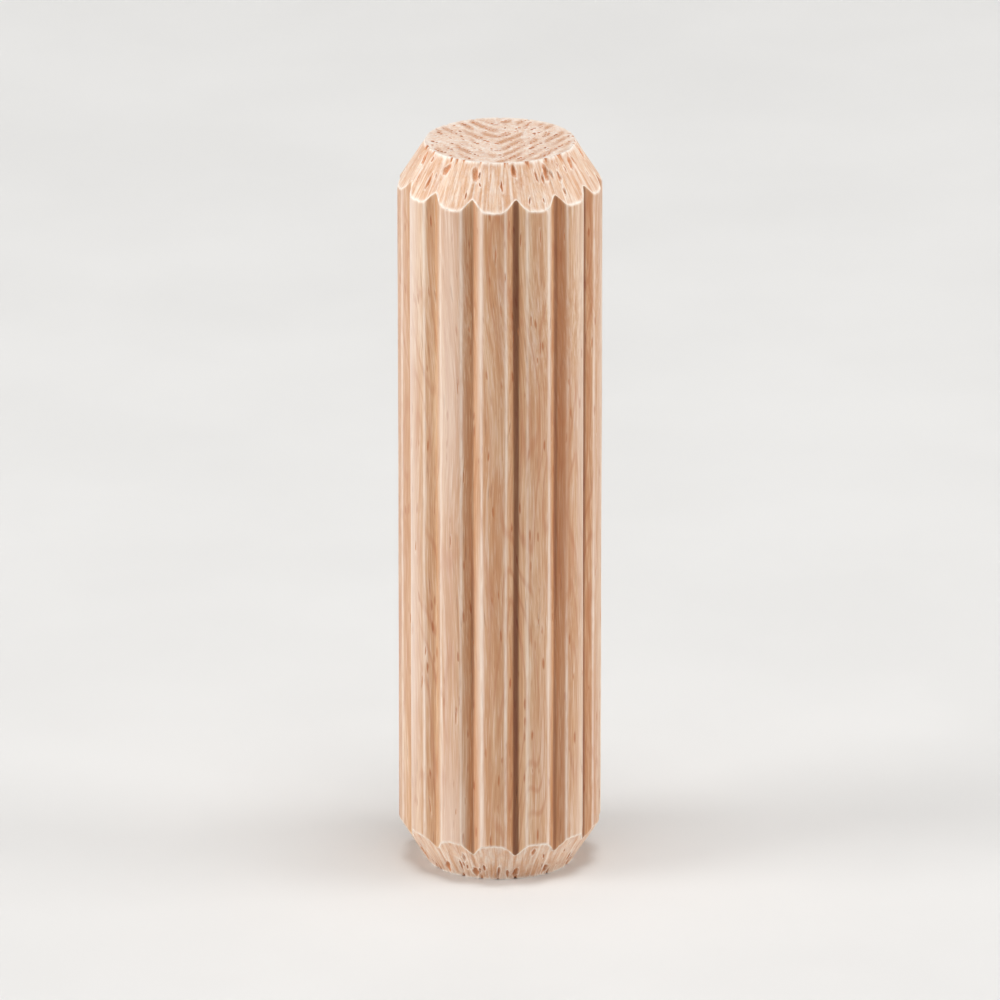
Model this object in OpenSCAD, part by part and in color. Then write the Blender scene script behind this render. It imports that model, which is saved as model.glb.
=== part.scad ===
// Fluted wooden dowel pin, standing on one end.
// One turned piece of beech: a straight shank with V flutes pressed along its
// whole length and a conical chamfer with a flat end face at both ends.
// Origin: centre of the lower end face. +Z runs along the pin.

/* [Pin] */
// Diameter over the lands, between the flutes
pin_d = 8.2; // [5:0.1:16]
// Length over the two flat end faces
pin_l = 30; // [20:0.5:80]

/* [Flutes] */
// Number of flutes round the shank, an even number
flute_count = 14; // [10:2:18]
// Depth of a flute below the lands
flute_depth = 0.3; // [0.2:0.05:0.4]
// Share of the circumference that the lands keep
land_share = 0.53; // [0.4:0.01:0.65]
// Radius at the root of a flute
root_r = 0.07; // [0.04:0.01:0.1]

/* [Ends] */
// Diameter of the flat face at each end, as a share of the pin's diameter
end_share = 0.73; // [0.6:0.01:0.85]
// Length of the chamfer at each end, as a share of the pin's diameter
chamfer_share = 0.22; // [0.1:0.01:0.3]

/* [Hidden] */
// Segments of a round surface
fn_round = 96;
// Segments of a flute's round root
fn_root = 24;
// Radius over the lands
pin_r = pin_d / 2;
// Radius of the flat end face
end_r = pin_r * end_share;
// Length of a chamfer along the pin
chamfer_l = pin_d * chamfer_share;
// Angle from one flute to the next
pitch_a = 360 / flute_count;
// Half of the angle that a flute takes at the surface
half_a = pitch_a * (1 - land_share) / 2;
// Edge of a flute, where its wall meets the land
edge_x = pin_r * sin(half_a);
edge_y = pin_r * cos(half_a);
// Centre of the round root
root_y = pin_r - flute_depth + root_r;
// Line from the root's centre to the edge, and the point just inside the root from which the wall
// runs up, so that wall and root always cross
line_l = sqrt(pow(edge_x, 2) + pow(edge_y - root_y, 2));
line_a = atan2(edge_y - root_y, edge_x);
wall_a = line_a - acos(root_r / line_l);
foot_in = 0.995 * root_r;
foot_x = foot_in * cos(wall_a);
foot_y = root_y + foot_in * sin(wall_a);
// The wall runs on past the surface by this share of its own length
run_on = 0.8;
top_x = edge_x + run_on * (edge_x - foot_x);
top_y = edge_y + run_on * (edge_y - foot_y);
// Room that the cutting shapes have past the pin
over = pin_d / 10;
// Top of a flute's cutting shape, clear of the pin whatever its diameter
cap_y = max(top_y, pin_r) + over;

// Section that one flute takes out of the shank, centred on +Y: a V with a round root
module flute_section() {
    polygon([[-top_x, cap_y], [-top_x, top_y], [-foot_x, foot_y], [foot_x, foot_y], [top_x, top_y], [top_x, cap_y]]);
    translate([0, root_y]) circle(r = root_r, $fn = fn_root);
}

// Section of the shank: a round bar less its flutes
module shank_section() {
    difference() {
        circle(r = pin_r, $fn = fn_round);
        for (i = [0 : flute_count - 1]) rotate(i * pitch_a) flute_section();
    }
}

// Ring round the lower end whose inner cone is the chamfer
module chamfer_ring() {
    slope = chamfer_l / (pin_r - end_r);
    rotate_extrude($fn = fn_round)
        polygon([
            [end_r - over / slope, -over],
            [pin_r + over, -over],
            [pin_r + over, chamfer_l + over * slope],
        ]);
}

// The pin: a fluted shank with both of its ends chamfered
module dowel_pin() {
    color("BurlyWood")
    difference() {
        linear_extrude(height = pin_l) shank_section();
        chamfer_ring();
        translate([0, 0, pin_l]) mirror([0, 0, 1]) chamfer_ring();
    }
}

dowel_pin();
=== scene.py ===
import math

import bpy
import numpy as np
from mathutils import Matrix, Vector
from mathutils.geometry import delaunay_2d_cdt


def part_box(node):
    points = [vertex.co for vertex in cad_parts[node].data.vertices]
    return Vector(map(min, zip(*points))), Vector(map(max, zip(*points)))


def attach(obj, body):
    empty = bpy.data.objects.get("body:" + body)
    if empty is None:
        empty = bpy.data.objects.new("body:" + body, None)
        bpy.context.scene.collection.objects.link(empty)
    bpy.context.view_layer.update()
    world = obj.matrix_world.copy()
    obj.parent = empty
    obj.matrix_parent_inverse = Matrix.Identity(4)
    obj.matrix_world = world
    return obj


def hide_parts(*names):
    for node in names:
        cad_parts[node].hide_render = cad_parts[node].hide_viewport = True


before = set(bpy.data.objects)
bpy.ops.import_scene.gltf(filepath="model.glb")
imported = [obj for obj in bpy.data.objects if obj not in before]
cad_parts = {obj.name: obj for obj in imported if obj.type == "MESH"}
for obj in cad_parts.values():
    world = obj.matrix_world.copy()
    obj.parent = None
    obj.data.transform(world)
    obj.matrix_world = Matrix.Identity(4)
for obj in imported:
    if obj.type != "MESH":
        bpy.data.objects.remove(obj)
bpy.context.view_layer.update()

# ---------------------------------------------------------------- sizes, in mm
b_lo, b_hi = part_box("dowel_pin")
LEN = (b_hi[2] - b_lo[2]) * 1000.0            # length of the pin
R = (b_hi[0] - b_lo[0]) * 500.0 - 0.003       # radius over the lands, just inside the CAD solid
FLUTES = 14
PITCH = 2 * math.pi / FLUTES
PHASE = math.pi / 2                           # a flute is centred on +Y
HALF_W = R * PITCH * 0.235                    # half of a flute's width at the surface
DEPTH = 0.30                                  # depth of a flute
END_R = R * 0.727                             # radius of a flat end face
CH_LEN = 1.80                                 # length of a chamfer along the pin
CUT = PHASE + PITCH * 2.5                      # the angle where the unrolled surface is cut, on the middle of a land

rng = np.random.default_rng(20260)


def smooth(t):
    return t * t * (3 - 2 * t)


def field(turn, along, cells, seed):
    """Smooth random field from -1 to 1, periodic in turn (0 to 1, cells across), along in cells."""
    g = np.random.default_rng(seed).uniform(-1, 1, (640, cells))
    a = (np.asarray(turn) % 1.0) * cells
    i = np.floor(a).astype(int)
    t = smooth(a - i)
    b = np.asarray(along) + 300.0
    j = np.floor(b).astype(int)
    s = smooth(b - j)
    i0, i1 = i % cells, (i + 1) % cells
    j0, j1 = np.clip(j, 0, 639), np.clip(j + 1, 0, 639)
    return (g[j0, i0] * (1 - t) + g[j0, i1] * t) * (1 - s) + (g[j1, i0] * (1 - t) + g[j1, i1] * t) * s


def plane_field(x, y, size, seed):
    """Smooth random field from -1 to 1 over a plane; size is the width of its bumps."""
    g = np.random.default_rng(seed).uniform(-1, 1, (400, 400))
    a, b = np.asarray(x) / size + 200.0, np.asarray(y) / size + 200.0
    i, j = np.floor(a).astype(int), np.floor(b).astype(int)
    t, s = smooth(a - i), smooth(b - j)
    i0, i1 = i % 400, (i + 1) % 400
    j0, j1 = j % 400, (j + 1) % 400
    return (g[i0, j0] * (1 - t) + g[i1, j0] * t) * (1 - s) + (g[i0, j1] * (1 - t) + g[i1, j1] * t) * s


# ---------------------------------------------------------------- the fluted section
flute_w = HALF_W * (1 + rng.uniform(-0.055, 0.055, FLUTES))
flute_d = DEPTH * (1 + rng.uniform(-0.07, 0.05, FLUTES))
flute_shift = rng.uniform(-0.022, 0.022, FLUTES)
flute_shade = rng.uniform(0.60, 1.10, FLUTES)             # how much painted shade each flute's root gets
flute_shade[5:10] = 0.50, 0.92, 1.08, 0.94, 1.00          # the five that face the camera, each given its own painted shade
RHO = 0.16                                    # roundness of the root
EPS = 0.130                                   # roundness of a land's edge


def flute_at(theta, z):
    """Depth below the land's surface, distance from the flute's centre line over its half width, and how deep in the
    flute, 0 to 1, times the flute's strength of painted shade.
    """
    q = (theta - PHASE) / PITCH
    k = np.round(q).astype(int)
    x = (q - k) * PITCH * R
    k = k % FLUTES
    turn = theta / (2 * math.pi)
    w = flute_w[k] * (1 + 0.045 * field(turn, z / 7.0, 14, 11))
    d = flute_d[k] * (1 + 0.07 * field(turn, z / 5.0, 14, 12))
    x = x - flute_shift[k] - 0.012 * field(turn, z / 9.0, 14, 13)
    a = np.abs(x) / w
    v = d * (1 - (np.sqrt(a * a + RHO * RHO) - RHO) / (math.sqrt(1 + RHO * RHO) - RHO))
    h = 0.5 * (v + np.sqrt(v * v + EPS * EPS))
    return h, a, np.clip(h / DEPTH, 0, 1) * flute_shade[k]


def ripple(theta, z, deep):
    """Fibre ridges along the pin, always inwards."""
    turn = theta / (2 * math.pi)
    fine = field(turn, z / 4.0, 260, 21)
    mid = field(turn, z / 6.5, 96, 22)
    slow = field(turn, z / 9.0, 30, 23)
    return 0.0045 * (1 + fine) + 0.006 * (1 + mid) + 0.006 * (1 + slow) * (1 - np.clip(deep, 0, 1))


def shank_r(theta, z):
    h, a, deep = flute_at(theta, z)
    return R - h - ripple(theta, z, deep), a, deep


# ---------------------------------------------------------------- columns and rows of the unrolled surface
side = [0.035, 0.08, 0.14, 0.205, 0.27, 0.33]            # root and wall, in mm from the flute's centre line
edge = [0.370, 0.408, 0.446, 0.490]                      # the land's rounded edge
land = [0.545, 0.62, 0.70, 0.785, 0.87]                  # the land
offsets = [-o for o in reversed(side + edge + land)] + [0.0] + side + edge + land
cols = []
for k in range(FLUTES):
    c = PHASE + k * PITCH + flute_shift[k] / R
    s = flute_w[k] / HALF_W
    for o in offsets:
        t = o * s if abs(o) <= 0.49 else math.copysign(0.49 * s + (abs(o) - 0.49) * (0.92 - 0.49 * s) / (0.92 - 0.49), o)
        cols.append(c + t / R)
cols = np.sort((np.array(cols) - CUT) % (2 * math.pi)) + CUT
cols[0] = CUT
NU = len(cols)
cols = np.append(cols, CUT + 2 * math.pi)                # column NU is column 0 again

near = [0, 0.018, 0.05, 0.095, 0.16, 0.24, 0.34, 0.46, 0.60, 0.77, 0.97, 1.2]
NCH = 27
mid_t = np.linspace(0.028, 1 - 0.028, NCH - 3)
ch_t = np.concatenate([[0, 0.009], mid_t, [1 - 0.009, 1]])  # rows of a chamfer, from its rim to its scalloped edge
NCH = len(ch_t) - 1
body = LEN - 2 * CH_LEN
long_rows = np.linspace(near[-1], body - near[-1], 70)
sh_d = np.concatenate([near[:-1], long_rows, [body - d for d in reversed(near[:-1])]])
sh_t = sh_d / body
NSH = len(sh_t) - 1
NV = 2 * NCH + NSH                                        # row NV is the upper rim

# ---------------------------------------------------------------- the ends: slightly off centre and ragged, as cut
SLOPE = CH_LEN / (R - END_R)


class End:
    """One end of the pin: how far the chamfer runs, and its small damage."""

    def __init__(self, seed, top):
        self.seed, self.top = seed, top
        r = np.random.default_rng(seed)
        self.lean = r.uniform(0.012, 0.028), r.uniform(0, 2 * math.pi)
        n = 34                                            # chips where the fibres tore out at the scalloped edge
        self.chip_a = r.uniform(0, 2 * math.pi, n)
        self.chip_w = r.uniform(0.035, 0.11, n)
        self.chip_d = r.uniform(0.012, 0.05, n)
        self.chip_l = r.uniform(0.12, 0.55, n)
        n = 44                                            # nicks in the rim of the flat end face
        self.nick_a = r.uniform(0, 2 * math.pi, n)
        self.nick_w = r.uniform(0.035, 0.085, n)
        self.nick_d = r.uniform(0.02, 0.10, n)
        self.nick_l = r.uniform(0.12, 0.75, n)

    def edge_z(self, theta):
        """Length along the pin from the end face to the scalloped edge."""
        zz = CH_LEN if not self.top else LEN - CH_LEN
        r, a, deep = shank_r(theta, np.full_like(theta, zz))
        turn = theta / (2 * math.pi)
        z = (r - END_R) * SLOPE
        z = z + 0.020 * field(turn, 0 * turn + self.seed, 150, self.seed + 1) + 0.012 * field(turn, 0 * turn, 70, self.seed + 2)
        z = z + self.lean[0] * np.cos(theta - self.lean[1]) * SLOPE
        return z

    def chips(self, theta, dist):
        """Depth torn away, dist mm from the scalloped edge along the surface."""
        out = np.zeros_like(theta)
        for a, w, d, l in zip(self.chip_a, self.chip_w, self.chip_d, self.chip_l):
            da = ((theta - a + math.pi) % (2 * math.pi) - math.pi) * R
            out = np.maximum(out, d * np.exp(-((da / w) ** 2) * 1.4) * np.clip(1 - np.abs(dist) / l, 0, 1) ** 0.7)
        return out

    def nicks(self, theta, dist):
        out = np.zeros_like(theta)
        for a, w, d, l in zip(self.nick_a, self.nick_w, self.nick_d, self.nick_l):
            da = ((theta - a + math.pi) % (2 * math.pi) - math.pi) * END_R
            out = np.maximum(out, d * np.exp(-((da / w) ** 2) * 1.6) * np.clip(1 - np.abs(dist) / l, 0, 1) ** 0.8)
        return out


lower, upper = End(501, False), End(733, True)

# Long streaks: angle round the pin in degrees, half width in mm, and strength, browner if above 0 and paler if below.
# The thirteen set round the angle that faces the camera are painted light and shade: the paler ones painted highlight
# from the side lamps, the browner ones painted shade on what faces the camera. The rest, further round, are the wood's
# own streaks.
FRONT = -99.3                                 # the angle that faces the camera
STREAKS_AND_PAINTED_LIGHT = [(FRONT - 61, 0.66, -0.95), (FRONT - 45, 0.22, 0.25), (FRONT - 30, 0.62, -0.80), (FRONT - 19, 0.22, 0.22), (FRONT - 11.5, 0.18, -1.00),
           (FRONT + 0, 0.48, 0.42), (FRONT + 9.3, 0.13, 0.75), (FRONT + 13, 0.30, -0.15), (FRONT + 22, 0.44, 0.46), (FRONT + 29.5, 0.15, -0.85), (FRONT + 39, 0.38, 1.00),
           (FRONT + 53, 0.38, -0.50), (FRONT + 63, 0.20, 0.45)]
srng = np.random.default_rng(404)
for turn_deg in range(75, 285, 13):
    STREAKS_AND_PAINTED_LIGHT.append((FRONT + turn_deg + srng.uniform(-4, 4), srng.uniform(0.22, 0.5), srng.uniform(-0.5, 0.75)))


def streaks_and_painted_light(theta, z):
    turn = theta / (2 * math.pi)
    wander = 0.16 * field(turn, z / 9.0, 12, 61) + 0.05 * field(turn, z / 3.0, 40, 62)
    out = np.zeros_like(theta)
    for deg_, half, power in STREAKS_AND_PAINTED_LIGHT:
        d = ((theta - math.radians(deg_) + math.pi) % (2 * math.pi) - math.pi) * R + wander * min(1.0, half / 0.4)
        out += power * np.exp(-((d / half) ** 2)) * (0.72 + 0.45 * field(turn * 0, z / 6.0 + deg_, 3, 63))
    return np.clip(out, -1, 1)


def zone_of(v):
    return np.where(v < NCH, 0, np.where(v <= NCH + NSH, 1, 2))


def place(u, v):
    """The unrolled surface's points in space. Returns positions and what the finish needs to know about each."""
    u, v = np.asarray(u, float), np.asarray(v, float)
    theta = np.interp(u, np.arange(NU + 1), cols)
    n = len(u)
    pos = np.zeros((n, 3))
    nrm = np.zeros((n, 3))
    deep, painted_highlight, kind, nick_shade, row = np.zeros(n), np.zeros(n), np.zeros(n), np.zeros(n), np.zeros(n)
    ez0, ez1 = lower.edge_z(theta), upper.edge_z(theta)
    ct, st = np.cos(theta), np.sin(theta)
    zone = zone_of(v)
    # shank
    m = zone == 1
    t = np.interp(v[m] - NCH, np.arange(NSH + 1), sh_t)
    z = ez0[m] * (1 - t) + (LEN - ez1[m]) * t
    r, a, d = shank_r(theta[m], z)
    to_lower, to_upper = z - ez0[m], LEN - ez1[m] - z
    torn = lower.chips(theta[m], to_lower) + upper.chips(theta[m], to_upper)
    soft = 0.010 * np.exp(-((np.minimum(to_lower, to_upper) / 0.03) ** 2))
    r = r - torn - soft
    pos[m] = np.stack([r * ct[m], r * st[m], z], 1)
    nrm[m] = np.stack([ct[m], st[m], 0 * z], 1)
    deep[m] = d
    # painted highlight: pale lines along both edges of each land and along the scalloped edges, where light catches
    # them
    rim_highlight = np.exp(-((np.minimum(to_lower, to_upper) / 0.045) ** 2))
    shoulder_highlight = np.exp(-(((a - 1.04) * HALF_W / 0.056) ** 2)) * (0.80 + 0.35 * field(theta[m] / (2 * math.pi), z / 2.6, 42, 71))
    painted_highlight[m] = np.clip(0.85 * shoulder_highlight + 0.9 * rim_highlight, 0, 1)
    # chamfers
    for end, sel, ez in ((lower, zone == 0, ez0), (upper, zone == 2, ez1)):
        vv = v[sel] if end is lower else NV - v[sel]
        t = np.interp(vv, np.arange(NCH + 1), ch_t)
        th = theta[sel]
        turn = th / (2 * math.pi)
        zs = CH_LEN if end is lower else LEN - CH_LEN
        re, a, d = shank_r(th, np.full_like(th, zs))
        # the rim is a little uneven
        rim = END_R + 0.012 * field(turn, 0 * turn, 90, end.seed + 5) + 0.010 * field(turn, 0 * turn, 22, end.seed + 6)
        path = t * math.hypot(CH_LEN, R - END_R)
        rest = (1 - t) * math.hypot(CH_LEN, R - END_R)
        r = rim + t * (re - rim)
        zz = t * ez[sel]
        # torn fibres run down the slope
        rough = 0.010 * (1 + field(turn, t * 5 + 9, 150, end.seed + 7)) + 0.012 * (1 + field(turn, t * 2.5, 60, end.seed + 8))
        valley = 0.030 * np.exp(-((a * HALF_W / 0.15) ** 2)) * np.clip(path / 0.5, 0, 1)
        rough = (rough + valley) * np.clip(path / 0.12, 0, 1) * np.clip(rest / 0.10, 0, 1)
        cut = end.chips(th, rest) * 0.8 + end.nicks(th, path)
        round_off = 0.012 * np.exp(-((path / 0.03) ** 2)) + 0.010 * np.exp(-((rest / 0.03) ** 2))
        dd = rough + cut + round_off
        nx, nz = SLOPE / math.hypot(SLOPE, 1), 1 / math.hypot(SLOPE, 1)
        r = r - dd * nx
        zz = np.maximum(zz + dd * nz, 0)
        zz = np.where(t <= 0, np.maximum(end.nicks(th, path) * 0.5, 0), zz)
        w = zz if end is lower else LEN - zz
        pos[sel] = np.stack([r * ct[sel], r * st[sel], w], 1)
        nrm[sel] = np.stack([nx * ct[sel], nx * st[sel], np.full_like(r, -nz if end is lower else nz)], 1)
        deep[sel] = 0
        torn = end.nicks(th, path)
        from_flute = a * HALF_W * (rim + t * (re - rim)) / R
        # painted highlight on a chamfer: pale bands at its rim and at its scalloped edge, and pale lips beside each
        # flute's line; torn chips are made paler too, and a nick puts the highlight out
        lip_highlight = 0.62 * np.exp(-(((from_flute - 0.16 - 0.03 * field(turn, t * 3, 40, end.seed + 14)) / 0.065) ** 2)) * np.clip(path / 0.7, 0, 1) * np.clip(0.55 + 0.6 * field(turn, t * 2.2, 30, end.seed + 15), 0, 1)
        painted_highlight[sel] = np.clip(1.0 * np.exp(-((path / 0.090) ** 2)) + 1.1 * np.exp(-((rest / 0.100) ** 2)) + lip_highlight + 1.5 * end.chips(th, rest), 0, 1) * (1 - np.clip(torn / 0.06, 0, 1))
        # painted shade inside the nicks, darker where they cut deeper
        nick_shade[sel] = np.clip((torn - 0.018) / 0.06, 0, 0.75)
        kind[sel] = 0.5
        run = 0.55 * field(turn, t * 1.5 + 3, 58, end.seed + 11) + 0.45 * field(turn, t * 2.4 + 7, 132, end.seed + 12) + 0.25 * field(turn, t * 5 + 1, 230, end.seed + 13)
        row[sel] = np.clip((run - 0.02) * 1.6, 0, 1)
        row[sel] = np.maximum(row[sel], 0.8 * np.exp(-((from_flute / 0.055) ** 2)) * np.clip(0.5 + field(turn, t * 2.5, 30, end.seed + 16), 0, 1))
    return pos, nrm, deep, painted_highlight, kind, nick_shade, row


# ---------------------------------------------------------------- pits: open pores and torn slits
def ring(a, b, n, tilt, wob, r):
    """An uneven oval, a across by b along, as n points counted round."""
    k = np.arange(n) * 2 * math.pi / n
    g = 1 + wob * r.uniform(-1, 1, n)
    x, y = a * np.cos(k) * g, b * np.sin(k) * g
    return np.stack([x * math.cos(tilt) - y * math.sin(tilt), x * math.sin(tilt) + y * math.cos(tilt)], 1)


def slit(a, b, n, tilt, bend, r):
    """A long pointed opening, 2a wide and 2b long, slightly bent."""
    k = np.arange(n) * 2 * math.pi / n
    x = a * np.sign(np.cos(k)) * np.abs(np.cos(k)) ** 1.3 * (1 + 0.38 * r.uniform(-1, 1, n))
    y = b * np.sin(k) * (1 + 0.10 * r.uniform(-1, 1, n))
    x = x + bend * (y / b) ** 2
    return np.stack([x * math.cos(tilt) - y * math.sin(tilt), x * math.sin(tilt) + y * math.cos(tilt)], 1)


path_of = np.concatenate([ch_t * math.hypot(CH_LEN, R - END_R)])
ch_path = path_of[-1]
row_d = np.concatenate([path_of, ch_path + sh_d[1:], ch_path + body + (ch_path - path_of[::-1])[1:]])   # distance along the surface of each row
TOTAL = row_d[-1]
col_a = cols                                                                                          # angle of each column


def to_uv(theta0, d0, pts):
    """Points in mm round (angle, distance along the surface) as column and row numbers."""
    rr = R if ch_path < d0 < TOTAL - ch_path else END_R + (R - END_R) * min(d0, TOTAL - d0) / ch_path
    th = theta0 + pts[:, 0] / rr
    th = (th - CUT) % (2 * math.pi) + CUT
    return np.stack([np.interp(th, cols, np.arange(NU + 1)), np.interp(d0 + pts[:, 1], row_d, np.arange(NV + 1))], 1)


pits = []    # (uv of guard ring, rim ring, floor ring, depth, darkness)


def add_pit(theta0, d0, shape, depth, dark, guard=0.016):
    length = np.hypot(shape[:, 0], shape[:, 1])
    out = shape * (1 + guard / np.maximum(length, 0.02))[:, None]
    pits.append((to_uv(theta0, d0, out), to_uv(theta0, d0, shape), to_uv(theta0, d0, shape * 0.5), depth, dark))


def clear_of(th, d, placed, gap):
    for (t2, d2, w2, l2) in placed:
        da = abs((th - t2 + math.pi) % (2 * math.pi) - math.pi) * R
        if da < gap[0] + w2 and abs(d - d2) < gap[1] + l2:
            return False
    return True


taken = []
prng = np.random.default_rng(77)
# the wood splits along each flute's line where the chamfer cuts it, then slits and pores at random
for end, d_rim in ((lower, 0.0), (upper, TOTAL)):
    sign = 1 if end is lower else -1
    for k in range(FLUTES):
        if prng.uniform() < 0.12:
            continue
        th = (PHASE + k * PITCH + flute_shift[k] / R + prng.normal(0, 0.022) - CUT) % (2 * math.pi) + CUT
        hw, hl = prng.uniform(0.105, 0.150), prng.uniform(0.32, 0.48)
        dd = d_rim + sign * (0.07 + hl + prng.uniform(0, 0.16))
        add_pit(th, dd, slit(hw, hl, 16, prng.normal(0, 0.12), prng.uniform(-0.04, 0.04), prng), prng.uniform(0.06, 0.10), prng.uniform(0.34, 0.50), 0.060)
        taken.append((th, dd, hw, hl))
    tries = 0
    made = 0
    while made < 58 and tries < 9000:
        tries += 1
        th = CUT + prng.uniform(0.03, 2 * math.pi - 0.03)
        # first the long torn slits, then the smaller open vessels
        long_one = made < 22
        hw = prng.uniform(0.040, 0.070) if long_one else prng.uniform(0.026, 0.048)
        hl = prng.uniform(0.18, 0.46) if long_one else prng.uniform(0.07, 0.20)
        h, a, deep = flute_at(np.array([th]), np.array([CH_LEN if end is lower else LEN - CH_LEN]))
        avail = ch_path * (1 - 0.28 * min(1.0, h[0] / DEPTH)) - 0.16
        lo_d, hi_d = 0.10 + hl, avail - hl
        if hi_d <= lo_d:
            continue
        d = lo_d + (hi_d - lo_d) * prng.uniform(0, 1) ** (1.6 if long_one else 1.0)
        dd = d_rim + sign * d
        if not clear_of(th, dd, taken, (hw + 0.05, hl + 0.04)):
            continue
        tilt = prng.normal(0, 0.13)
        shape = slit(hw, hl, 14, tilt, prng.uniform(-0.03, 0.03), prng) if long_one else ring(hw, hl, 10, tilt, 0.12, prng)
        add_pit(th, dd, shape, prng.uniform(0.05, 0.09), prng.uniform(0.20, 0.50) if long_one else prng.uniform(0.25, 0.55), 0.034 if long_one else 0.018)
        taken.append((th, dd, hw, hl))
        made += 1
# short open vessels along the shank, on lands and flute walls alike
tries = made = 0
while made < 120 and tries < 9000:
    tries += 1
    th = CUT + prng.uniform(0.03, 2 * math.pi - 0.03)
    hw = prng.uniform(0.016, 0.028)
    hl = prng.uniform(0.10, 0.42) * (1.5 if prng.uniform() < 0.15 else 1)
    d = prng.uniform(ch_path + 0.55 + hl, TOTAL - ch_path - 0.55 - hl)
    if not clear_of(th, d, taken, (hw + 0.06, hl + 0.08)):
        continue
    add_pit(th, d, slit(hw, hl, 10, prng.normal(0, 0.035), prng.uniform(-0.01, 0.01), prng), prng.uniform(0.015, 0.032), prng.uniform(0.15, 0.5), 0.010)
    taken.append((th, d, hw, hl))
    made += 1

# ---------------------------------------------------------------- the unrolled mesh
jj, ii = np.meshgrid(np.arange(NU + 1), np.arange(NV + 1))
gu, gv = jj.ravel().astype(float), ii.ravel().astype(float)
keep = np.ones(len(gu), bool)
fixed = (gu == 0) | (gu == NU) | (gv == 0) | (gv == NV) | (gv == NCH) | (gv == NCH + NSH)


def inside(poly, x, y):
    got = np.zeros(len(x), bool)
    n = len(poly)
    for i in range(n):
        x0, y0 = poly[i]
        x1, y1 = poly[(i + 1) % n]
        hit = ((y0 > y) != (y1 > y))
        with np.errstate(divide="ignore", invalid="ignore"):
            got ^= hit & (x < (x1 - x0) * (y - y0) / (y1 - y0) + x0)
    return got


uv_pts, uv_depth, uv_dark, uv_painted_highlight, rings = [], [], [], [], []
lip_rng = np.random.default_rng(88)
count = 0
for guard, rim, floor_, depth, dark in pits:
    c = guard.mean(0)
    grown = c + (guard - c) * 1.12 + np.sign(guard - c) * 0.10
    lo, hi = grown.min(0), grown.max(0)
    near_by = np.nonzero((gu >= lo[0]) & (gu <= hi[0]) & (gv >= lo[1]) & (gv <= hi[1]))[0]
    if len(near_by):
        hit = near_by[inside(grown, gu[near_by], gv[near_by])]
        keep[hit[~fixed[hit]]] = False
    # each pit: a guard ring with a painted highlight lip, a rim ring and a floor ring; darkness grows towards the
    # floor, the pit's brown deepened by painted shade
    for pts, dep, dk, lt in ((guard, 0.0, 0.0, 0.85), (rim, 0.10, 0.45, 0.35), (floor_, 1.0, 1.0, 0.0)):
        start = count
        uv_pts.append(pts)
        uv_depth += [dep * depth] * len(pts)
        uv_dark += [dk * dark] * len(pts)
        uv_painted_highlight += list(lt * min(1.0, depth / 0.06) * lip_rng.uniform(0.25, 1.0, len(pts)))
        rings += [(start + i, start + (i + 1) % len(pts)) for i in range(len(pts))]
        count += len(pts)
keep |= fixed
gid = -np.ones(len(gu), int)
gid[keep] = np.arange(keep.sum())
all_u = np.concatenate([gu[keep], np.concatenate(uv_pts)[:, 0]])
all_v = np.concatenate([gv[keep], np.concatenate(uv_pts)[:, 1]])
base = int(keep.sum())
pit_depth = np.concatenate([np.zeros(base), uv_depth])
pit_dark = np.concatenate([np.zeros(base), uv_dark])
pit_painted_highlight = np.concatenate([np.zeros(base), uv_painted_highlight])
grid = gid.reshape(NV + 1, NU + 1)
cons = []
for row in (0, NCH, NCH + NSH, NV):
    cons += [(int(grid[row, j]), int(grid[row, j + 1])) for j in range(NU)]
for col in (0, NU):
    cons += [(int(grid[i, col]), int(grid[i + 1, col])) for i in range(NV)]
cons += [(base + a, base + b) for a, b in rings]
out_v, _, out_f, orig_v, _, _ = delaunay_2d_cdt([Vector((float(a), float(b))) for a, b in zip(all_u, all_v)], cons, [], 1, 1e-6)
src = np.array([o[0] if o else -1 for o in orig_v])
lost = np.nonzero(src < 0)[0]
for i in lost:    # a point that the triangulation made itself takes after its nearest neighbour
    src[i] = int(np.argmin((all_u - out_v[i][0]) ** 2 + (all_v - out_v[i][1]) ** 2))
ou = np.array([p[0] for p in out_v])
ov = np.array([p[1] for p in out_v])
pos, nrm, deep, painted_highlight, kind, nick_shade, row_side = place(ou, ov)
streak_and_painted_light = streaks_and_painted_light(np.interp(ou, np.arange(NU + 1), cols), pos[:, 2])
dep, dk, lt = pit_depth[src], pit_dark[src], pit_painted_highlight[src]
dep[lost] = dk[lost] = 0
pos = pos - nrm * dep[:, None]
# the nicks' painted shade joins the pits' darkness
dk = np.maximum(dk, nick_shade)
# the painted highlight takes in the pits' lips and goes out where a pit or nick is dark
painted_highlight = np.clip(np.maximum(painted_highlight, lt) * (1 - dk), 0, 1)
tris = np.array([f for f in out_f if len(f) == 3])
# the cut's two sides are one
left = {round(float(ov[i]), 6): i for i in np.nonzero(ou == 0)[0]}
weld = np.arange(len(ou))
for i in np.nonzero(ou == NU)[0]:
    weld[i] = left[round(float(ov[i]), 6)]
side_faces = weld[tris]
side_uv = np.stack([np.interp(ou, np.arange(NU + 1), cols) - CUT, np.interp(ov, np.arange(NV + 1), row_d)], 1)
side_uv[:, 0] *= R

P = [pos]
A_deep, A_painted_highlight, A_kind, A_dark, A_band, A_streak_and_painted_light = [deep], [painted_highlight], [kind], [dk], [row_side], [streak_and_painted_light]
faces = [side_faces]
corner_uv = [side_uv[tris].reshape(-1, 2)]
total = len(pos)

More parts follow.
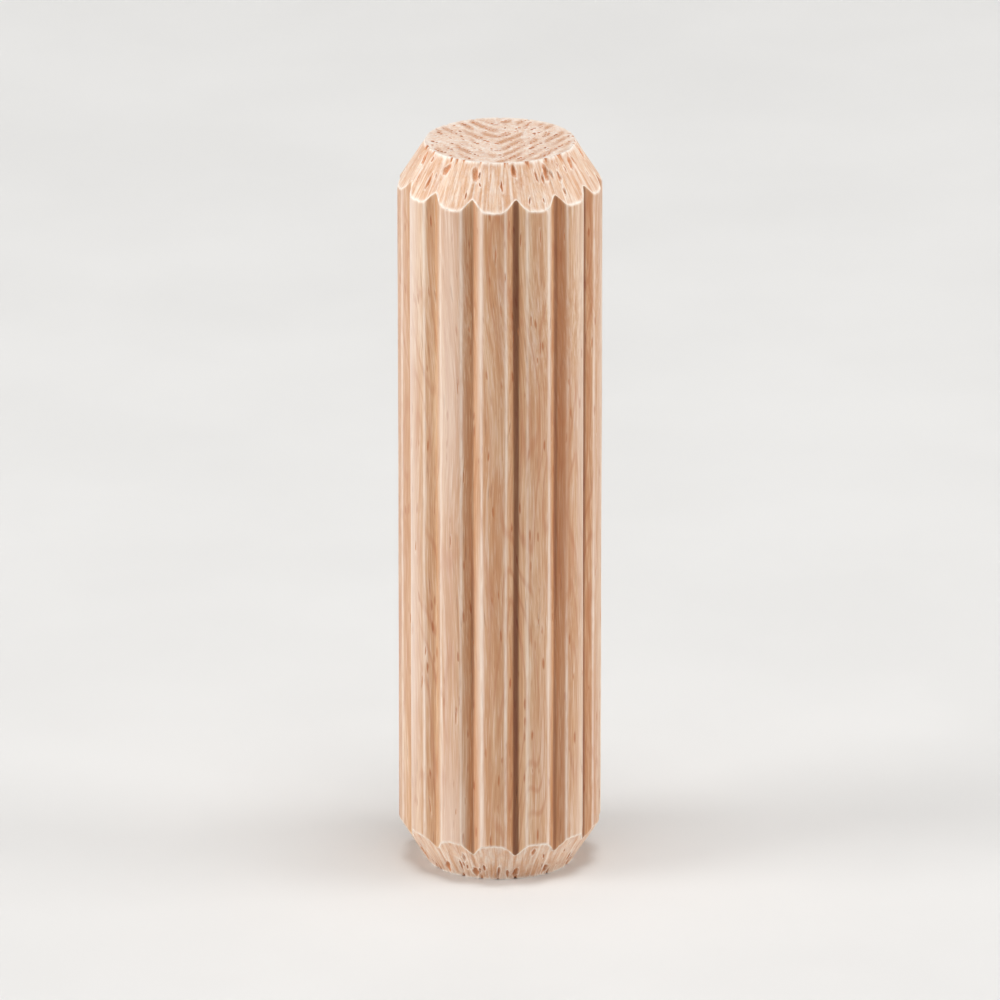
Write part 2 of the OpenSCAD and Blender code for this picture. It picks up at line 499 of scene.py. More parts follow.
# ---------------------------------------------------------------- the flat end faces, with their pores
RAY = math.radians(62)                        # the direction that the broad rays follow across the section
ray_d = np.array([math.cos(RAY), math.sin(RAY)])
ring_d = np.array([-ray_d[1], ray_d[0]])
PITH = -ray_d * 46.0                          # centre of the tree's rings
ROW_TURN = math.radians(-9.3)                 # on the end faces the pores stand in two sets of rows that meet in a V
ROW_SLOPE = 1.6
ROW_STEP = 0.43
row_u = np.array([math.cos(ROW_TURN), math.sin(ROW_TURN)])
row_v = np.array([-row_u[1], row_u[0]])


def ring_phase(x, y):
    return np.hypot(x - PITH[0], y - PITH[1]) / 2.15 + 0.12 * plane_field(x, y, 2.2, 91)


def row_phase(x, y, seed):
    """Whole numbers lie on the rows of pores."""
    u, v = x * row_u[0] + y * row_u[1] + 0.15, x * row_v[0] + y * row_v[1]
    bent = np.sqrt(u * u + 0.09)
    return (v - ROW_SLOPE * bent + 0.16 * plane_field(x, y, 1.3, seed)) / (ROW_STEP * math.hypot(1, ROW_SLOPE)) 


def row_dir(x, y):
    u = x * row_u[0] + y * row_u[1] + 0.15
    k = ROW_SLOPE * u / math.sqrt(u * u + 0.09)
    d = row_u + k * row_v
    return d / np.hypot(*d)


def end_face(end, rim_ids, rim_uv, seed):
    global total
    r = np.random.default_rng(seed)
    rim = pos[rim_ids][:, :2]
    rad = np.hypot(rim[:, 0], rim[:, 1])
    pts = [rim]
    cons = [(i, (i + 1) % len(rim)) for i in range(len(rim))]
    # painted highlight: the face's rim ring starts pale, its inner ring less so
    depth, dark, lit = [np.zeros(len(rim))], [np.zeros(len(rim))], [np.full(len(rim), 0.8)]
    n = len(rim)
    # an inner ring keeps the rim's rounding narrow
    inner = rim * ((rad - 0.035) / rad)[:, None]
    pts.append(inner[::2])
    m = len(inner[::2])
    depth.append(np.zeros(m)), dark.append(np.zeros(m)), lit.append(np.full(m, 0.35))
    n += m
    pores, tries = [], 0
    limit = rad.min() - 0.10
    while len(pores) < 130 and tries < 40000:
        tries += 1
        c = r.uniform(-limit, limit, 2)
        if np.hypot(*c) > limit:
            continue
        off = row_phase(*c, seed + 31)
        off = abs(off - round(float(off)))
        if off > 0.17 and r.uniform() > 0.06:               # most pores stand in the rows, between the rays
            continue
        ph = ring_phase(*c) % 1.0
        if r.uniform() > 0.95 - 0.62 * ph ** 1.5:           # fewer pores in a ring's late wood
            continue
        size = r.uniform(0.046, 0.080) * (1.05 - 0.25 * ph)
        gap = 0.045 + size
        if any(math.hypot(c[0] - q[0], c[1] - q[1]) < gap + q[2] for q in pores):
            continue
        pores.append((c[0], c[1], size))
        if r.uniform() < 0.5:                               # a second pore beside it, along the row
            s2 = size * r.uniform(0.8, 1.0)
            c2 = c + row_dir(*c) * (size + s2 + 0.055) * r.choice([-1, 1]) + r.normal(0, 0.010, 2)
            if np.hypot(*c2) < limit and all(math.hypot(c2[0] - q[0], c2[1] - q[1]) >= 0.045 + s2 + q[2] for q in pores):
                pores.append((c2[0], c2[1], s2))
    dashes = []
    tries = 0
    while len(dashes) < 16 and tries < 4000:
        tries += 1
        c = r.uniform(-limit + 0.25, limit - 0.25, 2)
        if np.hypot(*c) > limit - 0.25:
            continue
        hl = r.uniform(0.12, 0.24)
        ends = [c + row_dir(*c) * hl * s for s in (-1, 0, 1)]
        if any(min(math.hypot(e[0] - q[0], e[1] - q[1]) for e in ends) < 0.10 + q[2] for q in pores):
            continue
        if any(np.hypot(*(c - q[0])) < 0.35 + q[1] for q in dashes):
            continue
        dashes.append((c, hl))
    holes = []
    for x, y, s in pores:
        k = 12
        d = row_dir(x, y)
        tilt = math.atan2(d[1], d[0]) + r.normal(0, 0.25)
        stretch = r.uniform(1.0, 1.6)
        shape = ring(s * stretch, s / stretch ** 0.5, k, tilt, 0.09, r)
        holes.append((np.array([x, y]), shape, r.uniform(0.05, 0.11), r.uniform(0.45, 0.95)))
    for c, hl in dashes:
        d = row_dir(*c)
        holes.append((c, slit(r.uniform(0.018, 0.028), hl, 12, math.atan2(d[1], d[0]) - math.pi / 2 + r.normal(0, 0.10), 0.0, r), 0.035, r.uniform(0.4, 0.7)))
    for c, shape, dep_, dark_ in holes:
        ln = np.hypot(shape[:, 0], shape[:, 1])
        # each hole: a guard ring with a painted highlight lip, a rim and a floor; darkness grows towards the floor, the
        # pore's brown deepened by painted shade
        for pts_, dp, dd, ll in ((shape * (1 + 0.013 / np.maximum(ln, 0.02))[:, None], 0.0, 0.0, 0.45), (shape, 0.15, 0.55, 0.2), (shape * 0.55, 1.0, 1.0, 0.0)):
            q = c + pts_
            cons += [(n + i, n + (i + 1) % len(q)) for i in range(len(q))]
            pts.append(q)
            depth.append(np.full(len(q), dp * dep_))
            dark.append(np.full(len(q), dd * dark_))
            lit.append(np.full(len(q), ll))
            n += len(q)
    # the ground between them
    step = 0.082
    gx, gy = [], []
    row = 0
    y = -END_R
    while y < END_R:
        x = -END_R + (step / 2 if row % 2 else 0)
        while x < END_R:
            gx.append(x), gy.append(y)
            x += step
        y += step * 0.866
        row += 1
    gx, gy = np.array(gx), np.array(gy)
    gx = gx + r.uniform(-0.012, 0.012, len(gx))
    gy = gy + r.uniform(-0.012, 0.012, len(gy))
    ok = np.hypot(gx, gy) < rad.min() - 0.075
    for c, shape, *_ in holes:
        ext = np.hypot(shape[:, 0], shape[:, 1]).max() + 0.06
        cand = np.nonzero(ok & (np.abs(gx - c[0]) < ext) & (np.abs(gy - c[1]) < ext))[0]
        if len(cand):
            ln = np.hypot(shape[:, 0], shape[:, 1])
            big = c + shape * (1 + 0.036 / np.maximum(ln, 0.02))[:, None]
            ok[cand[inside(big, gx[cand], gy[cand])]] = False
    g = np.stack([gx[ok], gy[ok]], 1)
    pts.append(g)
    depth.append(np.zeros(len(g))), dark.append(np.zeros(len(g))), lit.append(np.zeros(len(g)))
    xy, depth, dark, lit = np.concatenate(pts), np.concatenate(depth), np.concatenate(dark), np.concatenate(lit)
    o_v, _, o_f, o_src, _, _ = delaunay_2d_cdt([Vector((float(a), float(b))) for a, b in xy], cons, [], 1, 1e-7)
    s = np.array([q[0] if q else -1 for q in o_src])
    for i in np.nonzero(s < 0)[0]:
        s[i] = int(np.argmin((xy[:, 0] - o_v[i][0]) ** 2 + (xy[:, 1] - o_v[i][1]) ** 2))
    ox, oy = np.array([q[0] for q in o_v]), np.array([q[1] for q in o_v])
    dep_, dk_, lt_ = depth[s], dark[s], lit[s]
    rr = np.hypot(ox, oy)
    inset = np.clip((rad.min() - rr) / 0.12, 0, 1)
    th = np.arctan2(oy, ox)
    # the sawn face: fibre ends of uneven height, and nicks that reach in from the rim
    rough = (0.006 * (1 + plane_field(ox, oy, 0.11, seed + 1)) + 0.006 * (1 + plane_field(ox, oy, 0.32, seed + 2))) * inset
    nick = end.nicks(th, (END_R - rr) * 4.0) * np.clip(1 - (END_R - rr) / 0.14, 0, 1) * 0.5
    row = row_phase(ox, oy, seed + 31)
    band = 0.5 + 0.5 * np.cos(2 * math.pi * row)            # 1 in the rows, 0 on the rays between them
    # each row is broken into brown dashes
    along = (ox * row_u[0] + oy * row_u[1]) * math.hypot(1, ROW_SLOPE)
    dash = np.clip(0.50 + 1.6 * plane_field(along, np.round(row) * 0.50, 0.50, seed + 33), 0, 1)
    band = np.clip(band * 1.25, 0, 1) * (0.10 + 0.90 * dash) * (0.86 + 0.14 * plane_field(ox, oy, 0.16, seed + 34))
    z = dep_ + rough + nick + 0.014 * band * inset
    f = np.array([q for q in o_f if len(q) == 3])
    rim_n = len(rim_ids)
    is_rim = s < rim_n
    w = z if end is lower else LEN - z
    here = np.stack([ox, oy, w], 1)
    ids = np.where(is_rim, 0, 0)
    fresh = np.nonzero(~is_rim)[0]
    ids = np.zeros(len(ox), int)
    ids[is_rim] = np.asarray(rim_ids)[s[is_rim]]
    ids[fresh] = total + np.arange(len(fresh))
    P.append(here[fresh])
    A_deep.append(np.zeros(len(fresh)))
    # painted highlight: a pale band round the face's rim
    rim_painted_highlight = 0.75 * np.exp(-(((rad.min() - rr[fresh]) / 0.10) ** 2))
    A_painted_highlight.append(np.clip(np.maximum(lt_[fresh], rim_painted_highlight) * (1 - dk_[fresh]), 0, 1))
    A_kind.append(np.ones(len(fresh)))
    A_dark.append(dk_[fresh])
    A_band.append(band[fresh])
    A_streak_and_painted_light.append(np.zeros(len(fresh)))
    total += len(fresh)
    if end is lower:
        f = f[:, ::-1]
    faces.append(ids[f])
    flat = np.stack([ox, oy], 1)
    corner_uv.append((flat[f] + np.array(rim_uv)).reshape(-1, 2))
    return len(pores)


row0 = [i for i in np.nonzero((ov == 0) & (ou < NU))[0]]
row0.sort(key=lambda i: ou[i])
row1 = [i for i in np.nonzero((ov == NV) & (ou < NU))[0]]
row1.sort(key=lambda i: ou[i])
WIDE = 2 * math.pi * R
n0 = end_face(lower, np.array(row0), (WIDE + 0.4 + END_R + 0.1, END_R + 0.2), 900)
n1 = end_face(upper, np.array(row1), (WIDE + 0.4 + END_R + 0.1, 3 * END_R + 0.8), 950)

P = np.concatenate(P)
A_deep, A_painted_highlight = np.concatenate(A_deep), np.concatenate(A_painted_highlight)
A_kind, A_dark, A_band, A_streak_and_painted_light = np.concatenate(A_kind), np.concatenate(A_dark), np.concatenate(A_band), np.concatenate(A_streak_and_painted_light)
F = np.concatenate(faces)
UV = np.concatenate(corner_uv)
# points that nothing uses go
used = np.zeros(len(P), bool)
used[F.ravel()] = True
new_id = np.cumsum(used) - 1
P, A_deep, A_painted_highlight, A_kind, A_dark, A_band, A_streak_and_painted_light = P[used], A_deep[used], A_painted_highlight[used], A_kind[used], A_dark[used], A_band[used], A_streak_and_painted_light[used]
F = new_id[F]
# nothing may stand out of the CAD box
P[:, 2] = np.clip(P[:, 2], 0, LEN)
co = P * 0.001
co[:, 0] += (b_lo[0] + b_hi[0]) / 2
co[:, 1] += (b_lo[1] + b_hi[1]) / 2
co[:, 2] += b_lo[2]

me = bpy.data.meshes.new("beech_pin")
me.vertices.add(len(co))
me.vertices.foreach_set("co", co.astype(np.float32).ravel())
me.loops.add(len(F) * 3)
me.loops.foreach_set("vertex_index", F.astype(np.int32).ravel())
me.polygons.add(len(F))
me.polygons.foreach_set("loop_start", np.arange(0, len(F) * 3, 3, dtype=np.int32))
me.polygons.foreach_set("use_smooth", np.ones(len(F), bool))
me.update(calc_edges=True)
scale = 1.0 / (WIDE + 0.4 + 2 * END_R + 0.4)
uvl = me.uv_layers.new(name="OFBake")
uvl.data.foreach_set("uv", ((UV + 0.1) * scale).astype(np.float32).ravel())
for name, values in (("deep", A_deep), ("painted_highlight", A_painted_highlight), ("grain_end", A_kind), ("pit", A_dark), ("row", A_band), ("streak_and_painted_light", A_streak_and_painted_light)):
    att = me.attributes.new(name, "FLOAT", "POINT")
    att.data.foreach_set("value", values.astype(np.float32))
bad = me.validate(verbose=False)
pin = bpy.data.objects.new("beech_pin", me)
bpy.context.scene.collection.objects.link(pin)
print("pin:", len(me.vertices), "vertices", len(me.polygons), "triangles", "pores", n0, n1, "pits", len(pits), "validate changed", bad, "made points", len(lost), "t_z", round(LEN, 4), "R", round(R, 4))

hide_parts("dowel_pin")
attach(pin, "root")


# ---------------------------------------------------------------- beech
class Nodes:
    def __init__(self, name):
        self.mat = bpy.data.materials.new(name)
        self.mat.use_nodes = True
        self.t = self.mat.node_tree
        self.t.nodes.clear()

    def add(self, kind, **props):
        n = self.t.nodes.new(kind)
        for k, v in props.items():
            setattr(n, k, v)
        return n

    def put(self, socket, value):
        if isinstance(value, bpy.types.NodeSocket):
            self.t.links.new(value, socket)
        else:
            socket.default_value = value

    def math(self, op, a, b=None, c=None, clamp=False):
        n = self.add("ShaderNodeMath", operation=op, use_clamp=clamp)
        self.put(n.inputs[0], a)
        if b is not None:
            self.put(n.inputs[1], b)
        if c is not None:
            self.put(n.inputs[2], c)
        return n.outputs[0]

    def vec(self, op, a, b=None, scale=None):
        n = self.add("ShaderNodeVectorMath", operation=op)
        self.put(n.inputs[0], a)
        if b is not None:
            self.put(n.inputs[1], b)
        if scale is not None:
            self.put(n.inputs["Scale"], scale)
        return n.outputs["Value" if op in ("DOT_PRODUCT", "LENGTH", "DISTANCE") else "Vector"]

    def ramp(self, value, lo, hi, to_lo=0.0, to_hi=1.0, smooth_=True):
        n = self.add("ShaderNodeMapRange", interpolation_type="SMOOTHSTEP" if smooth_ else "LINEAR", clamp=True)
        self.put(n.inputs["Value"], value)
        self.put(n.inputs["From Min"], lo)
        self.put(n.inputs["From Max"], hi)
        self.put(n.inputs["To Min"], to_lo)
        self.put(n.inputs["To Max"], to_hi)
        return n.outputs["Result"]

    def noise(self, vector, scale=1.0, detail=2.0, rough=0.5, distort=0.0):
        n = self.add("ShaderNodeTexNoise")
        self.put(n.inputs["Vector"], vector)
        n.inputs["Scale"].default_value = scale
        n.inputs["Detail"].default_value = detail
        n.inputs["Roughness"].default_value = rough
        n.inputs["Distortion"].default_value = distort
        return n.outputs["Fac"]

    def voronoi(self, vector, scale=1.0, rand=1.0):
        n = self.add("ShaderNodeTexVoronoi")
        self.put(n.inputs["Vector"], vector)
        n.inputs["Scale"].default_value = scale
        n.inputs["Randomness"].default_value = rand
        return n

    def mix(self, fac, a, b, blend="MIX"):
        n = self.add("ShaderNodeMix", data_type="RGBA", blend_type=blend)
        self.put(n.inputs[0], fac)
        self.put(n.inputs[6], a)
        self.put(n.inputs[7], b)
        return n.outputs[2]

    def attr(self, name):
        n = self.add("ShaderNodeAttribute", attribute_name=name)
        return n.outputs["Fac"]


def rgb(r, g, b):
    """An sRGB colour, 0 to 255, as the numbers that the shader takes."""
    f = lambda c: c / 255 / 12.92 if c / 255 <= 0.04045 else ((c / 255 + 0.055) / 1.055) ** 2.4
    return (f(r), f(g), f(b), 1.0)


g = Nodes("beech")
tc = g.add("ShaderNodeTexCoord")
mm = g.vec("SCALE", tc.outputs["Object"], scale=1000.0)
# the grain drifts a little along the pin
sep = g.add("ShaderNodeSeparateXYZ")
g.put(sep.inputs[0], mm)
x, y, z = sep.outputs
drift = g.noise(g.vec("MULTIPLY", mm, (0.05, 0.05, 0.07)), 1.0, 1.0)
dx = g.math("MULTIPLY_ADD", z, 0.022, g.math("MULTIPLY", drift, 1.1))
dy = g.math("MULTIPLY_ADD", z, -0.015, g.math("MULTIPLY", drift, -0.8))
comb = g.add("ShaderNodeCombineXYZ")
g.put(comb.inputs[0], g.math("ADD", x, dx))
g.put(comb.inputs[1], g.math("ADD", y, dy))
g.put(comb.inputs[2], z)
wood = comb.outputs[0]
# radial and tangential coordinates of the tree
rad_c = g.vec("DOT_PRODUCT", wood, (float(ray_d[0]), float(ray_d[1]), 0.0))
tan_c = g.vec("DOT_PRODUCT", wood, (float(ring_d[0]), float(ring_d[1]), 0.0))
tree = g.add("ShaderNodeCombineXYZ")
g.put(tree.inputs[0], tan_c)
g.put(tree.inputs[1], rad_c)
g.put(tree.inputs[2], z)
tree = tree.outputs[0]

deep_a, painted_highlight_a, end_a, pit_a, row_a, streak_and_painted_light_a = g.attr("deep"), g.attr("painted_highlight"), g.attr("grain_end"), g.attr("pit"), g.attr("row"), g.attr("streak_and_painted_light")

# growth rings, as distance from the tree's centre
pith_v = g.vec("SUBTRACT", wood, (float(PITH[0]), float(PITH[1]), 0.0))
pith_v = g.vec("MULTIPLY", pith_v, (1.0, 1.0, 0.0))
dist = g.vec("LENGTH", pith_v)
ring_n = g.noise(g.vec("MULTIPLY", wood, (0.45, 0.45, 0.05)), 1.0, 2.0)
phase = g.math("FRACT", g.math("ADD", g.math("MULTIPLY", dist, 1 / 2.15), g.math("MULTIPLY", ring_n, 0.9)))
late = g.math("MULTIPLY", g.ramp(phase, 0.45, 0.95), g.ramp(phase, 1.0, 0.97))
# fibres
fib0 = g.noise(g.vec("MULTIPLY", wood, (27.0, 27.0, 0.75)), 1.0, 2.0, 0.6)
fib1 = g.noise(g.vec("MULTIPLY", wood, (12.0, 12.0, 0.34)), 1.0, 3.0, 0.62)
fib2 = g.noise(g.vec("MULTIPLY", wood, (4.2, 4.2, 0.10)), 1.0, 3.0, 0.55)
fib3 = g.noise(g.vec("MULTIPLY", wood, (1.1, 1.1, 0.045)), 1.0, 2.0, 0.5)
# wavy figure: level lines of a slow field, seen as fine arcs along the grain
fig_f = g.noise(g.vec("MULTIPLY", wood, (0.80, 0.80, 0.105)), 1.0, 0.5, 0.5)
fig = g.math("ABSOLUTE", g.math("SUBTRACT", g.math("FRACT", g.math("MULTIPLY", fig_f, 11.0)), 0.5))
fig_line = g.ramp(fig, 0.20, 0.02)
fig_where = g.ramp(g.noise(g.vec("MULTIPLY", wood, (0.5, 0.5, 0.12)), 1.0, 1.0), 0.42, 0.58)
fig_line = g.math("MULTIPLY", fig_line, fig_where)
# rays: thin across, long towards the tree's centre, short along the pin
ray_bend = g.noise(g.vec("MULTIPLY", tree, (5.0, 5.0, 1.6)), 1.0, 2.0)
ray_v = g.voronoi(g.vec("ADD", g.vec("MULTIPLY", tree, (7.6, 4.4, 1.30)), g.vec("SCALE", (0.55, 0.55, 0.30), scale=ray_bend)))
rsep = g.add("ShaderNodeSeparateColor")
g.put(rsep.inputs[0], ray_v.outputs["Color"])
ray_pick = g.ramp(rsep.outputs[0], 0.86, 0.90)
ray = g.math("MULTIPLY", g.ramp(ray_v.outputs["Distance"], 0.42, 0.16), ray_pick)
# vessels: short brown dashes along the pin
ves_v = g.voronoi(g.vec("MULTIPLY", wood, (8.5, 8.5, 0.62)))
vsep = g.add("ShaderNodeSeparateColor")
g.put(vsep.inputs[0], ves_v.outputs["Color"])
ves_pick = g.ramp(vsep.outputs[1], 0.74, 0.80)
ves = g.math("MULTIPLY", g.ramp(ves_v.outputs["Distance"], 0.27, 0.12), ves_pick)
# longer, paler streaks
str_v = g.voronoi(g.vec("MULTIPLY", wood, (3.6, 3.6, 0.14)))
ssep = g.add("ShaderNodeSeparateColor")
g.put(ssep.inputs[0], str_v.outputs["Color"])
streak = g.math("MULTIPLY", g.ramp(str_v.outputs["Distance"], 0.42, 0.10), g.ramp(ssep.outputs[2], 0.5, 0.62))

on_end = g.ramp(end_a, 0.6, 0.95)                     # 1 on an end face, 0 on a chamfer and the shank

base = g.mix(g.ramp(fib3, 0.30, 0.70), rgb(202, 154, 112), rgb(223, 189, 155))
base = g.mix(g.math("MULTIPLY", late, 0.45), base, rgb(194, 132, 84))
base = g.mix(g.math("MULTIPLY", g.ramp(fib2, 0.58, 0.30), 0.42), base, rgb(186, 125, 72))
base = g.mix(g.math("MULTIPLY", g.ramp(fib2, 0.52, 0.74), 0.40), base, rgb(236, 217, 201))
base = g.mix(g.math("MULTIPLY", g.ramp(fib1, 0.56, 0.30), 0.42), base, rgb(183, 119, 64))
base = g.mix(g.math("MULTIPLY", g.ramp(fib1, 0.52, 0.72), 0.38), base, rgb(239, 225, 211))
base = g.mix(g.math("MULTIPLY", g.ramp(fib0, 0.52, 0.36), 0.36), base, rgb(179, 115, 60))
base = g.mix(g.math("MULTIPLY", g.ramp(fib0, 0.54, 0.68), 0.28), base, rgb(244, 233, 222))
base = g.mix(g.math("MULTIPLY", streak, 0.36), base, rgb(186, 110, 58))
base = g.mix(g.math("MULTIPLY", fig_line, 0.40), base, rgb(180, 106, 58))
base = g.mix(g.math("MULTIPLY", ves, 0.34), base, rgb(158, 96, 58))
base = g.mix(g.math("MULTIPLY", ray, g.ramp(end_a, 0.0, 1.0, 0.88, 0.20)), base, rgb(176, 100, 38))
# streaks: the wood's own, and round the side that faces the camera painted shade (browner) and painted highlight
# (paler)
base = g.mix(g.ramp(streak_and_painted_light_a, 0.0, 1.0, 0.0, 0.68, False), base, rgb(182, 112, 52))
base = g.mix(g.ramp(streak_and_painted_light_a, 0.0, -1.0, 0.0, 0.68, False), base, rgb(236, 219, 207))
# chamfers and end faces: paler, with fewer long marks; the chamfers are freshly cut, and the end faces are painted
# near-white as light from above shows them, their end grain being darker in truth
cut_tone_and_painted_light = g.mix(g.ramp(g.noise(g.vec("MULTIPLY", wood, (6.0, 6.0, 0.75)), 1.0, 3.0, 0.6), 0.40, 0.62), g.mix(on_end, rgb(234, 202, 174), rgb(245, 218, 197)), g.mix(on_end, rgb(236, 215, 197), rgb(255, 246, 238)))
end_dark = g.mix(g.math("MULTIPLY", late, 0.22), cut_tone_and_painted_light, rgb(214, 168, 134))
speck = g.ramp(g.noise(g.vec("MULTIPLY", wood, (14.0, 14.0, 1.0)), 1.0, 2.0, 0.6), 0.56, 0.38)
end_dark = g.mix(g.math("MULTIPLY", speck, g.ramp(end_a, 0.5, 1.0, 0.16, 0.36)), end_dark, rgb(212, 158, 116))
row_n = g.math("MULTIPLY", row_a, g.ramp(g.noise(g.vec("MULTIPLY", wood, (17.0, 17.0, 1.2)), 1.0, 2.0, 0.6), 0.36, 0.64, 0.55, 1.25))
end_dark = g.mix(g.math("MULTIPLY", row_n, g.ramp(end_a, 0.6, 0.95, 0.60, 0.98), clamp=True), end_dark, rgb(197, 127, 72))
base = g.mix(g.ramp(end_a, 0.30, 0.50, 0.0, 0.88), base, end_dark)
# on a chamfer the cut fibres show as fine streaks down the slope
on_ch = g.math("MULTIPLY", g.ramp(end_a, 0.30, 0.50), g.ramp(end_a, 0.95, 0.60))
round_v = g.vec("SCALE", g.vec("NORMALIZE", g.vec("MULTIPLY", mm, (1.0, 1.0, 0.0))), scale=R)
down_z = g.vec("MULTIPLY", mm, (0.0, 0.0, 1.0))
ch1 = g.noise(g.vec("ADD", g.vec("SCALE", round_v, scale=7.5), g.vec("SCALE", down_z, scale=0.85)), 1.0, 2.0, 0.55)
ch2 = g.noise(g.vec("ADD", g.vec("SCALE", round_v, scale=19.0), g.vec("SCALE", down_z, scale=1.5)), 1.0, 1.5, 0.55)
base = g.mix(g.math("MULTIPLY", on_ch, g.ramp(ch1, 0.54, 0.34, 0.0, 0.58)), base, rgb(204, 142, 92))
base = g.mix(g.math("MULTIPLY", on_ch, g.ramp(ch1, 0.54, 0.70, 0.0, 0.50)), base, rgb(248, 238, 228))
base = g.mix(g.math("MULTIPLY", on_ch, g.ramp(ch2, 0.52, 0.34, 0.0, 0.42)), base, rgb(200, 140, 94))
# painted highlight: edges made pale where light would catch them; painted shade: flutes darkened towards their roots
painted_highlight_n = g.math("MULTIPLY", painted_highlight_a, g.ramp(g.noise(g.vec("MULTIPLY", wood, (7.0, 7.0, 1.3)), 1.0, 2.0), 0.25, 0.60, 0.45, 1.0))
painted_highlight_n = g.math("MULTIPLY", painted_highlight_n, g.ramp(streak_and_painted_light_a, 0.2, 1.0, 1.0, 0.30))
base = g.mix(g.math("MULTIPLY", painted_highlight_n, g.ramp(end_a, 0.2, 0.5, 0.82, 0.92)), base, g.mix(g.ramp(end_a, 0.2, 0.5), rgb(243, 229, 216), rgb(252, 244, 235)))
# painted shade: flute walls a little darker and warmer, the roots much darker, as shade in the hollows
base = g.mix(g.ramp(deep_a, 0.12, 0.60), base, (0.965, 0.870, 0.735, 1.0), "MULTIPLY")
base = g.mix(g.ramp(deep_a, 0.78, 1.02), base, (0.46, 0.335, 0.235, 1.0), "MULTIPLY")
# pits and nicks: brown where they open, darker towards their floors; the darkening with depth, and the nicks' darkness,
# is painted shade
pit_n = g.math("MULTIPLY", pit_a, g.ramp(fib0, 0.36, 0.64, 0.62, 1.30))
base = g.mix(g.ramp(pit_n, 0.03, 0.36, 0.0, 0.90), base, rgb(204, 128, 70))
base = g.mix(g.ramp(pit_n, 0.35, 0.95, 0.0, 0.92), base, rgb(136, 68, 28))

bsdf = g.add("ShaderNodeBsdfPrincipled")
g.put(bsdf.inputs["Base Color"], base)
rough = g.math("ADD", g.ramp(fib1, 0.3, 0.7, 0.30, 0.44), g.math("MULTIPLY", end_a, 0.20))
rough = g.math("ADD", rough, g.ramp(deep_a, 0.45, 0.95, 0.0, 0.34))
g.put(bsdf.inputs["Roughness"], rough)
bsdf.inputs["Specular IOR Level"].default_value = 0.85
bsdf.inputs["Sheen Weight"].default_value = 0.02
bsdf.inputs["Sheen Roughness"].default_value = 0.6
# relief finer than the mesh
height = g.math("ADD", g.math("MULTIPLY", fib1, 0.9), g.math("MULTIPLY", fib2, 0.5))
height = g.math("SUBTRACT", height, g.math("MULTIPLY", ves, 0.7))
height = g.math("SUBTRACT", height, g.math("MULTIPLY", ray, 0.35))
height = g.math("SUBTRACT", height, g.math("MULTIPLY", g.math("MULTIPLY", speck, end_a), 0.5))
height = g.math("ADD", height, g.math("MULTIPLY", on_ch, g.math("ADD", g.math("MULTIPLY", ch1, 0.8), g.math("MULTIPLY", ch2, 0.7))))
bump = g.add("ShaderNodeBump")
bump.inputs["Strength"].default_value = 0.55
bump.inputs["Distance"].default_value = 0.000040
g.put(bump.inputs["Height"], height)
g.put(bsdf.inputs["Normal"], bump.outputs[0])
out = g.add("ShaderNodeOutputMaterial")
g.put(out.inputs[0], bsdf.outputs[0])
me.materials.append(g.mat)

# ---------------------------------------------------------------- floor: a wide pale dish, flat under the pin
flat_r, wall_r = 0.40, 0.45
prof = [(0.0, 0.0), (0.05, 0.0), (0.15, 0.0), (0.28, 0.0), (flat_r, 0.0)]
for i in range(1, 25):
    a = i / 24 * math.pi / 2
    prof.append((flat_r + wall_r * math.sin(a), wall_r - wall_r * math.cos(a)))
verts, quads = [(0.0, 0.0, 0.0)], []
seg = 96
for rr, zz in prof[1:]:
    for k in range(seg):
        a = 2 * math.pi * k / seg
        verts.append((rr * math.cos(a), rr * math.sin(a), zz))
for k in range(seg):
    quads.append((0, 1 + k, 1 + (k + 1) % seg))
for i in range(len(prof) - 2):
    for k in range(seg):
        a, b = 1 + i * seg + k, 1 + i * seg + (k + 1) % seg
        quads.append((a, a + seg, b + seg, b))
fm = bpy.data.meshes.new("studio_floor")
fm.from_pydata(verts, [], quads)
fm.polygons.foreach_set("use_smooth", [True] * len(fm.polygons))
fm.update()
floor = bpy.data.objects.new("studio_floor", fm)
floor.location.z = b_lo[2]
bpy.context.scene.collection.objects.link(floor)
s = Nodes("studio_floor")
ftc = s.add("ShaderNodeTexCoord")
fn = s.noise(s.vec("SCALE", ftc.outputs["Object"], scale=60.0), 1.0, 3.0)
fb = s.add("ShaderNodeBsdfPrincipled")
s.put(fb.inputs["Base Color"], s.mix(s.ramp(fn, 0.3, 0.7), (0.76, 0.755, 0.745, 1), (0.79, 0.785, 0.775, 1)))
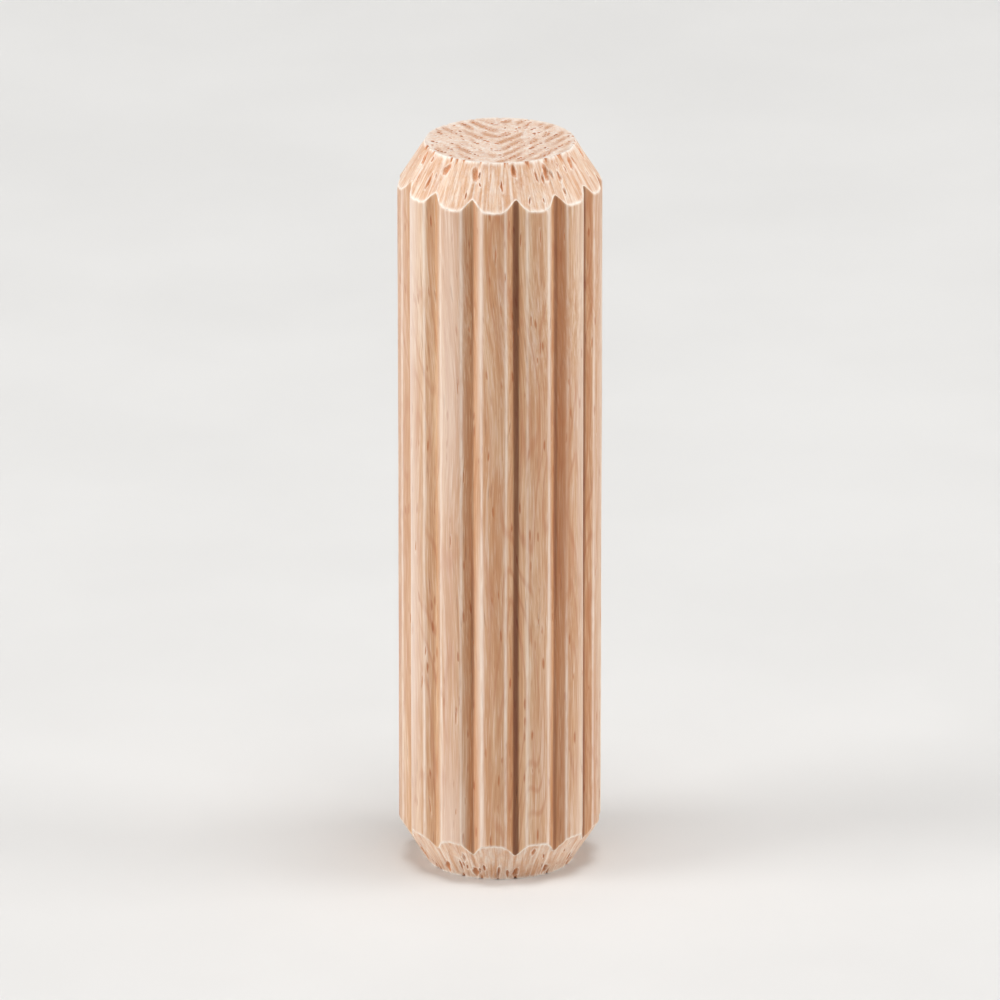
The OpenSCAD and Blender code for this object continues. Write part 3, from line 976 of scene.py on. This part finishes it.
fb.inputs["Roughness"].default_value = 0.85
fb.inputs["Specular IOR Level"].default_value = 0.10
fo = s.add("ShaderNodeOutputMaterial")
s.put(fo.inputs[0], fb.outputs[0])
fm.materials.append(s.mat)

# ---------------------------------------------------------------- light, camera
AZ, EL, DIST = -9.3, 19.1, 0.53


def around(az, el, dist, aim):
    a, e = math.radians(az), math.radians(el)
    return aim + Vector((math.sin(a) * math.cos(e), -math.cos(a) * math.cos(e), math.sin(e))) * dist


aim = Vector(((b_lo[0] + b_hi[0]) / 2, (b_lo[1] + b_hi[1]) / 2, b_lo[2] + LEN * 0.0005))


def area(name, az, el, dist, size, watts, colour):
    d = bpy.data.lights.new(name, "AREA")
    d.shape = "DISK"
    d.size = size
    d.energy = watts
    d.color = colour
    o = bpy.data.objects.new(name, d)
    o.location = around(az, el, dist, aim)
    o.rotation_mode = "QUATERNION"
    o.rotation_quaternion = (aim - o.location).to_track_quat("-Z", "Y")
    o.visible_camera = False                              # a view from the side would see the lamp itself
    bpy.context.scene.collection.objects.link(o)
    return o


area("left", AZ - 74, 17, 0.60, 0.34, 2.20, (1.0, 0.995, 0.985))
area("right", AZ + 84, 16, 0.60, 0.34, 1.80, (1.0, 0.99, 0.98))
area("top", AZ + 20, 84, 0.60, 0.34, 2.12, (1.0, 1.0, 1.0))
world = bpy.data.worlds.new("studio")
bpy.context.scene.world = world
world.use_nodes = True
bg = world.node_tree.nodes["Background"]
bg.inputs[0].default_value = (1.0, 0.99, 0.975, 1)
bg.inputs[1].default_value = 0.222
bpy.context.scene.view_settings.view_transform = "Standard"

cam_d = bpy.data.cameras.new("camera")
cam_d.sensor_width = 36.0
cam_d.lens = 480.0
cam_d.clip_start, cam_d.clip_end = 0.05, 5.0
cam = bpy.data.objects.new("camera", cam_d)
cam.location = around(AZ, EL, DIST, aim)
cam.rotation_mode = "QUATERNION"
cam.rotation_quaternion = (aim - cam.location).to_track_quat("-Z", "Y")
bpy.context.scene.collection.objects.link(cam)
bpy.context.scene.camera = cam
